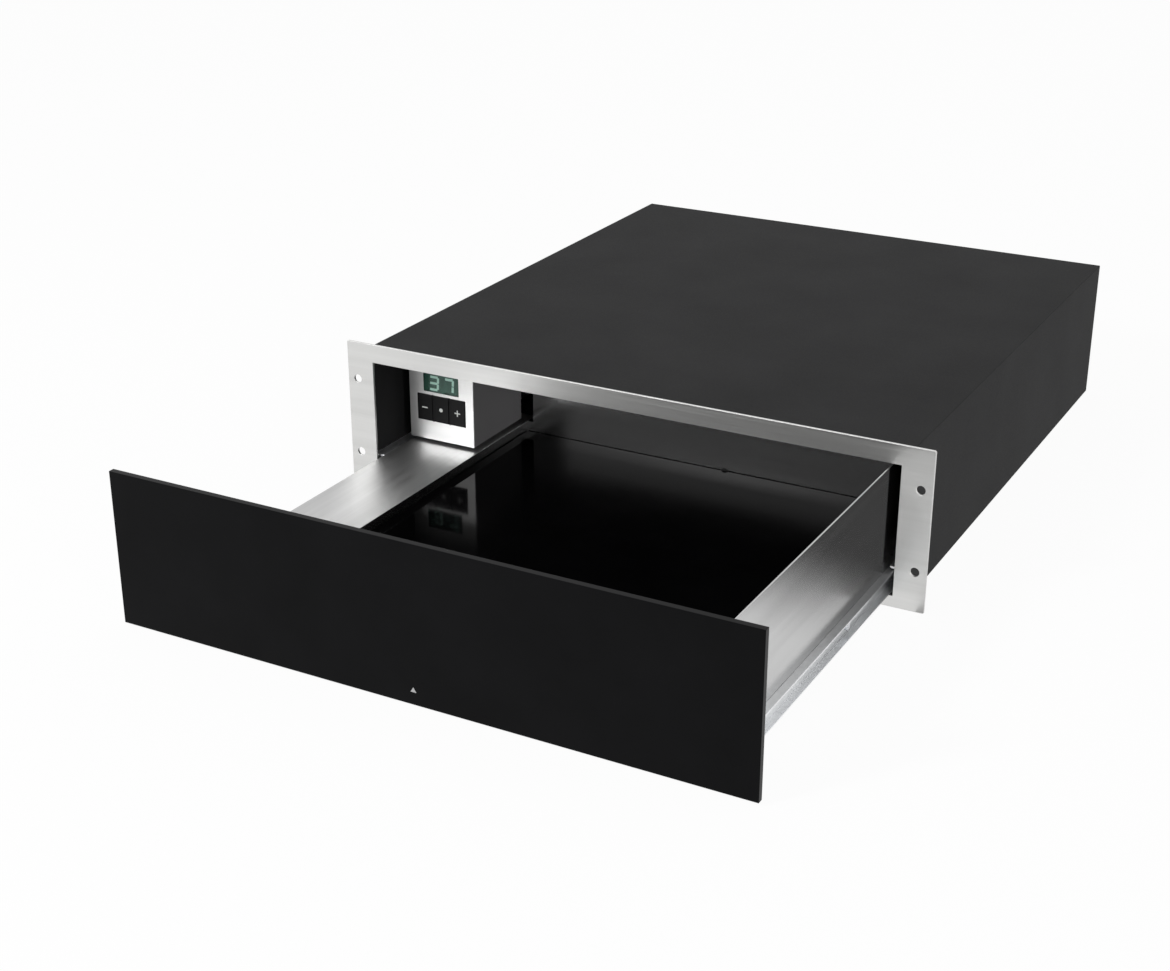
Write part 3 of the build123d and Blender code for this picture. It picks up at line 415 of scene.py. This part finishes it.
segment_lit, shader, tree = principled("lit_segment", (0.55, 0.6, 0.58), 0.4)
marks = place_group(tree, handling)
tint(tree, shader, marks.outputs["Smudge"], (0.5, 0.56, 0.54), (0.6, 0.65, 0.63))
shader.inputs["Emission Color"].default_value = (1.0, 1.0, 1.0, 1)
shader.inputs["Emission Strength"].default_value = 0.26

digit_width, digit_height, stroke, slant = 0.0076, 0.0106, 0.0019, 0.06
digit_above_edge, digit_depth, digit_thickness = 0.0019, 0.0016, 0.0003
digit_low = window_low.z + digit_above_edge
digit_back = window_low.y + digit_depth
lit_bars = {"3": "abgcd", "7": "abc"}


def segment_bars(left, low):
    """The seven bars of one digit, as corner lists, by their usual letters."""
    right, high, middle = left + digit_width, low + digit_height, low + digit_height / 2
    half, lap = stroke / 2, stroke * 0.3

    def lying(z):
        start, end = left + half - lap, right - half + lap
        return [(start, z - half), (end, z - half), (end, z + half), (start, z + half)]

    def upright(x, foot, top):
        start, end = foot + half - lap, top - half + lap
        return [(x - half, start), (x + half, start), (x + half, end), (x - half, end)]

    bars = {
        "a": lying(high), "g": lying(middle), "d": lying(low),
        "b": upright(right, middle, high), "c": upright(right, low, middle),
        "f": upright(left, middle, high), "e": upright(left, low, middle),
    }
    return {key: [(x + slant * (z - low), z) for x, z in bar] for key, bar in bars.items()}


display_middle = (window_low + window_high) / 2
lit = []
for figure, offset in (("3", -0.0115), ("7", 0.0025)):
    bars = segment_bars(display_middle.x + offset, digit_low)
    lit += [bars[key] for key in lit_bars[figure]]
flat_shape("display_digits", lit, digit_back, digit_thickness, segment_lit, "case")


# ---- Keys: three black moulded caps with a light printed sign each: less, set and more. They press
# ---- against the small switches on the board. The faceplate is printed black between them.

key_black = moulded("key_black", (0.006, 0.006, 0.0065), 0.5)
key_black.node_tree.nodes["Principled BSDF"].inputs["Specular IOR Level"].default_value = 0.15
sign_ink = moulded("sign_ink", (0.62, 0.64, 0.62), 0.5)
arm, bar, dot_radius, dot_corners = 0.0026, 0.0005, 0.0016, 24
print_thickness, beside_key, inside_key_end = 0.00003, 0.0001, 0.0006


def rectangle(x, z, half_x, half_z):
    """The corners of a rectangle round a middle point, in X and Z."""
    signs = ((-1, -1), (1, -1), (1, 1), (-1, 1))
    return [(x + half_x * sign_x, z + half_z * sign_z) for sign_x, sign_z in signs]


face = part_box("control_faceplate")[0].y
for left, right in (("button_minus", "button_set"), ("button_set", "button_plus")):
    left_key_high, right_key_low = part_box(left)[1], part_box(right)[0]
    middle = (left_key_high + right_key_low) / 2
    half_x = (right_key_low.x - left_key_high.x) / 2 - beside_key
    half_z = (left_key_high.z - right_key_low.z) / 2 - inside_key_end
    between = rectangle(middle.x, middle.z, half_x, half_z)
    flat_shape(f"surround_{left}", [between], face, print_thickness, key_black, "case")

for name, sign in (("button_minus", "less"), ("button_set", "set"), ("button_plus", "more")):
    dress(key_black, name)
    low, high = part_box(name)
    x, z = (low.x + high.x) / 2, (low.z + high.z) / 2
    if sign == "set":
        angles = [2 * pi * i / dot_corners for i in range(dot_corners)]
        outline = [[(x + dot_radius * cos(angle), z + dot_radius * sin(angle)) for angle in angles]]
    else:
        outline = [rectangle(x, z, arm, bar)]
    if sign == "more":
        outline += [rectangle(x, z + side * (arm + bar) / 2, bar, (arm - bar) / 2) for side in (-1, 1)]
    flat_shape(f"sign_{sign}", outline, low.y, print_thickness, sign_ink, name)


# ---- Power supply, mains inlet and fixings at the back: a zinc-plated cage with its board, and a
# ---- moulded appliance inlet held by two screws. The cord that plugs in here is left out.

dress(zinc_plate, "supply_case", edge=0.0002)
dress(moulded("inlet_black", (0.02, 0.02, 0.02), 0.4), "mains_inlet", edge=0.0004)
inlet_brass = zinc_metal("inlet_brass", (0.7, 0.54, 0.26), (0.8, 0.64, 0.32), (0.2, 0.3))
dress(inlet_brass, "inlet_pins", edge=0.0003)
black_fastener, shader, tree = principled("black_fastener", (0.025, 0.025, 0.026), 0.35, 0.6)
marks = place_group(tree, handling)
tint(tree, shader, marks.outputs["Fine"], (0.02, 0.02, 0.021), (0.04, 0.04, 0.041))
dress(black_fastener, "rear_screws", "base_screws", "inlet_screws")


# ---- Touch latch: a grey moulded body on a zinc-plated bracket behind the drawer, with a sprung
# ---- magnet plunger. Its strike is a small steel plate on the drawer's rear wall.

latch_grey = moulded("latch_grey", (0.33, 0.34, 0.35), 0.45)
dress(latch_grey, "latch_body", "latch_plunger", edge=0.0004)
dress(zinc_plate, "latch_bracket", "latch_strike", edge=0.0003)

spring_low, spring_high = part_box("latch_spring")
spring_length = spring_high.y - spring_low.y
wire_radius, coil_radius, turns = 0.0004, 0.003, 7
steps_per_turn, corners = 20, 8
mesh = bpy.data.meshes.new("latch_coil")
form = bmesh.new()
axis_x, axis_z = (spring_low.x + spring_high.x) / 2, (spring_low.z + spring_high.z) / 2
steps = turns * steps_per_turn
start, rise = spring_low.y + wire_radius, spring_length - 2 * wire_radius
ring_before = None
for step in range(steps + 1):
    angle = 2 * pi * turns * step / steps
    out = Vector((cos(angle), 0, sin(angle)))
    middle = Vector((axis_x, start + rise * step / steps, axis_z)) + out * coil_radius
    ring = []
    for k in range(corners):
        turn = 2 * pi * k / corners
        way = out * cos(turn) + Vector((0, 1, 0)) * sin(turn)
        ring.append(form.verts.new(middle + wire_radius * way))
    if ring_before:
        for k in range(corners):
            after = (k + 1) % corners
            form.faces.new((ring_before[k], ring_before[after], ring[after], ring[k])).smooth = True
    else:
        form.faces.new(ring)
    ring_before = ring
form.faces.new(ring_before[::-1])
bmesh.ops.recalc_face_normals(form, faces=form.faces)
form.to_mesh(mesh)
form.free()
latch_coil = bpy.data.objects.new("latch_coil", mesh)
bpy.context.scene.collection.objects.link(latch_coil)
mesh.materials.append(ball_steel)
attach(latch_coil, "case")
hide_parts("latch_spring")
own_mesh(latch_coil)


# ---- Leads: round 5 mm leads in a black silicone sheath, all inside the case. The heater's lead is held
# ---- by the drawer's grommet and a clip on the floor. The real lead bends as the drawer moves, but this
# ---- one is made once as a fixed tube. The other three lie fixed between their two ends.

lead_sheath = moulded("lead_sheath", (0.022, 0.022, 0.023), 0.48)
lead_diameter = 0.005


def lead_curve(name, route):
    """A round lead on one smooth line that has the route's points as its control points."""
    data = bpy.data.curves.new(name, "CURVE")
    data.dimensions = "3D"
    data.resolution_u = 14
    line = data.splines.new("NURBS")
    line.points.add(len(route) - 1)
    for point, place in zip(line.points, route):
        point.co = (*place, 1)
    line.order_u = 3
    line.use_endpoint_u = True
    data.materials.append(lead_sheath)
    lead = bpy.data.objects.new(name, data)
    bpy.context.scene.collection.objects.link(lead)
    return lead


def read_mesh(lead):
    """The mesh that Blender makes of a lead's curve: its bare line, or its tube once it has a bevel."""
    bpy.context.view_layer.update()
    seen = lead.evaluated_get(bpy.context.evaluated_depsgraph_get())
    return bpy.data.meshes.new_from_object(seen)


def make_round(lead):
    """Gives a lead's line its thickness."""
    lead.data.bevel_depth = lead_diameter / 2
    lead.data.bevel_resolution = 5
    lead.data.use_fill_caps = True


def declare_lead(node):
    """Hides the CAD lead that a made lead stands for."""
    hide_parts(node)


fixed_leads = {
    "supply_lead": (0.105, [(0.070, 0.304, -0.0573), (0.070, 0.3564, -0.0573), (0.070, 0.4088, -0.0573)]),
    "control_lead": (0.606, [
        (-0.195, 0.113, 0.0441), (-0.195, 0.3988, 0.0441), (-0.195, 0.4588, -0.02385),
        (-0.145, 0.4588, -0.04385), (0.05065, 0.4588, -0.04385),
    ]),
    "mains_lead": (0.057, [(0.150, 0.476, 0.0104), (0.150, 0.4428, 0.0104), (0.150, 0.4428, -0.0261)]),
}
for node, (length, route) in fixed_leads.items():
    lead = lead_curve(f"{node}_sheath", route)
    make_round(lead)
    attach(lead, "case")
    declare_lead(node)

heater_route = [
    (0.034, 0.1178, -0.0396), (0.034, 0.1478, -0.0396), (0.037, 0.1898, -0.0573),
    (0.052, 0.2298, -0.0573), (0.070, 0.2620, -0.0573), (0.070, 0.2960, -0.0573),
]
line = lead_curve("heater_lead_line", heater_route)
path = [vertex.co.copy() for vertex in read_mesh(line).vertices]
make_round(line)
mesh = read_mesh(line)
bpy.data.objects.remove(line)
heater_lead = bpy.data.objects.new("heater_lead_sheath", mesh)
bpy.context.scene.collection.objects.link(heater_lead)
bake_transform(heater_lead)
declare_lead("heater_lead")


# ---- Stage: a plain white floor and surroundings, a dark card for the mirror rays, a main lamp at the
# ---- front left, a weak one at the front right and the camera at the photograph's angle.

def stage_light(name, place, target, size, power):
    """A round soft lamp at a place, turned to a target."""
    lamp = bpy.data.lights.new(name, "AREA")
    lamp.shape = "DISK"
    lamp.size = size
    lamp.energy = power
    thing = bpy.data.objects.new(name, lamp)
    thing.location = place
    thing.rotation_mode = "QUATERNION"
    thing.rotation_quaternion = (Vector(target) - Vector(place)).to_track_quat("-Z", "Y")
    bpy.context.scene.collection.objects.link(thing)


def seen_directly(tree):
    """1 for camera, mirror and see-through rays, 0 for the rays that light things."""
    path = tree.nodes.new("ShaderNodeLightPath")
    joined = path.outputs["Is Camera Ray"]
    for label in ("Is Glossy Ray", "Is Transmission Ray"):
        node = tree.nodes.new("ShaderNodeMath")
        node.operation = "MAXIMUM"
        tree.links.new(joined, node.inputs[0])
        tree.links.new(path.outputs[label], node.inputs[1])
        joined = node.outputs[0]
    return joined


room_light, floor_tone, floor_glow, floor_half = 0.55, 0.86, 0.95, 20
world = bpy.data.worlds.new("studio")
bpy.context.scene.world = world
world.use_nodes = True
tree = world.node_tree
soft = tree.nodes["Background"]
soft.inputs["Color"].default_value = (1, 1, 1, 1)
soft.inputs["Strength"].default_value = room_light
shown = tree.nodes.new("ShaderNodeBackground")
shown.inputs["Color"].default_value = (1, 1, 1, 1)
shown.inputs["Strength"].default_value = 1.0
mix = tree.nodes.new("ShaderNodeMixShader")
tree.links.new(seen_directly(tree), mix.inputs[0])
tree.links.new(soft.outputs[0], mix.inputs[1])
tree.links.new(shown.outputs[0], mix.inputs[2])
tree.links.new(mix.outputs[0], tree.nodes["World Output"].inputs["Surface"])

floor_z = cad_box[0].z
mesh = bpy.data.meshes.new("floor")
floor_signs = ((-1, -1), (1, -1), (1, 1), (-1, 1))
mesh.from_pydata([(x * floor_half, y * floor_half, floor_z) for x, y in floor_signs], [], [(0, 1, 2, 3)])
floor = bpy.data.objects.new("floor", mesh)
bpy.context.scene.collection.objects.link(floor)
white = bpy.data.materials.new("floor_white")
white.use_nodes = True
tree = white.node_tree
tree.nodes.remove(tree.nodes["Principled BSDF"])
paper = tree.nodes.new("ShaderNodeBsdfDiffuse")
paper.inputs["Color"].default_value = (floor_tone, floor_tone, floor_tone, 1)
glow = tree.nodes.new("ShaderNodeEmission")
glow.inputs["Color"].default_value = (1, 1, 1, 1)
share = tree.nodes.new("ShaderNodeMath")
share.operation = "MULTIPLY"
share.inputs[1].default_value = floor_glow
mix = tree.nodes.new("ShaderNodeMixShader")
tree.links.new(seen_directly(tree), share.inputs[0])
tree.links.new(share.outputs[0], mix.inputs[0])
tree.links.new(paper.outputs[0], mix.inputs[1])
tree.links.new(glow.outputs[0], mix.inputs[2])
tree.links.new(mix.outputs[0], tree.nodes["Material Output"].inputs["Surface"])
mesh.materials.append(white)

# A dark card lies on the floor beside the drawer and stands up in front of the frame's ear. Only
# mirror rays see it: it is a painted shadow, which the drawer's polished side mirrors as a shade that
# grows darker towards the case. One step up the ear counts as steepness steps along the floor.
beside_wall, beside_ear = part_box("drawer_tray")[1].x + 0.0005, 0.235
card_right = cad_box[1].x + 0.12
card_front, card_back = -0.10, -0.0025
shade_ends, steepness = 0.066, 1.83
card_low, card_high = floor_z + 0.0002, cad_box[1].z
card_points = [
    (beside_ear, card_front, card_low), (card_right, card_front, card_low),
    (card_right, card_back, card_low), (beside_ear, card_back, card_low),
    (beside_wall, card_back, card_low), (card_right, card_back, card_high),
    (beside_wall, card_back, card_high),
]
mesh = bpy.data.meshes.new("shadow_card")
mesh.from_pydata(card_points, [], [(0, 1, 2, 3), (4, 2, 5, 6)])
card = bpy.data.objects.new("shadow_card", mesh)
bpy.context.scene.collection.objects.link(card)
for ray in ("camera", "diffuse", "transmission", "volume_scatter", "shadow"):
    setattr(card, f"visible_{ray}", False)
# The card's dark grey glow is a painted shadow, seen only in reflections.
dark = bpy.data.materials.new("painted_shadow_card")
dark.use_nodes = True
tree = dark.node_tree
tree.nodes.remove(tree.nodes["Principled BSDF"])
black = tree.nodes.new("ShaderNodeEmission")
black.inputs["Color"].default_value = (0.07, 0.07, 0.07, 1)
clear = tree.nodes.new("ShaderNodeBsdfTransparent")
place = tree.nodes.new("ShaderNodeTexCoord")
parts = tree.nodes.new("ShaderNodeSeparateXYZ")
fade = tree.nodes.new("ShaderNodeMapRange")
fade.interpolation_type = "SMOOTHSTEP"
fade.inputs["From Min"].default_value = card_front + steepness * floor_z
fade.inputs["From Max"].default_value = shade_ends + steepness * floor_z
fade.inputs["To Min"].default_value, fade.inputs["To Max"].default_value = 1, 0
depth = tree.nodes.new("ShaderNodeMath")
depth.operation = "MULTIPLY_ADD"
depth.inputs[1].default_value = steepness
side = tree.nodes.new("ShaderNodeNewGeometry")
through = tree.nodes.new("ShaderNodeMath")
through.operation = "MAXIMUM"
mix = tree.nodes.new("ShaderNodeMixShader")
tree.links.new(place.outputs["Object"], parts.inputs["Vector"])
tree.links.new(parts.outputs["Z"], depth.inputs[0])
tree.links.new(parts.outputs["Y"], depth.inputs[2])
tree.links.new(depth.outputs[0], fade.inputs["Value"])
tree.links.new(fade.outputs["Result"], through.inputs[0])
tree.links.new(side.outputs["Backfacing"], through.inputs[1])
tree.links.new(through.outputs[0], mix.inputs[0])
tree.links.new(black.outputs[0], mix.inputs[1])
tree.links.new(clear.outputs[0], mix.inputs[2])
tree.links.new(mix.outputs[0], tree.nodes["Material Output"].inputs["Surface"])
mesh.materials.append(dark)

lamp_distance = 3.0
for name, azimuth, elevation, size, power in (("key", -28, 34, 0.5, 43), ("side", 52, 12, 0.5, 16)):
    around, up = radians(azimuth), radians(elevation)
    direction = Vector((sin(around) * cos(up), -cos(around) * cos(up), sin(up)))
    stage_light(name, direction * lamp_distance, (0, 0, 0), size, power)

camera_data = bpy.data.cameras.new("camera")
camera_data.sensor_width = 36
camera_data.lens = 58.10
camera = bpy.data.objects.new("camera", camera_data)
azimuth, elevation = radians(28.508), radians(23.380)
behind = Vector((sin(azimuth) * cos(elevation), -cos(azimuth) * cos(elevation), sin(elevation)))
camera.location = (0.5952, -1.1500, 0.5458)
camera.rotation_mode = "QUATERNION"
camera.rotation_quaternion = (-behind).to_track_quat("-Z", "Y")
bpy.context.scene.collection.objects.link(camera)
bpy.context.scene.camera = camera
bpy.context.scene.view_settings.view_transform = "Standard"
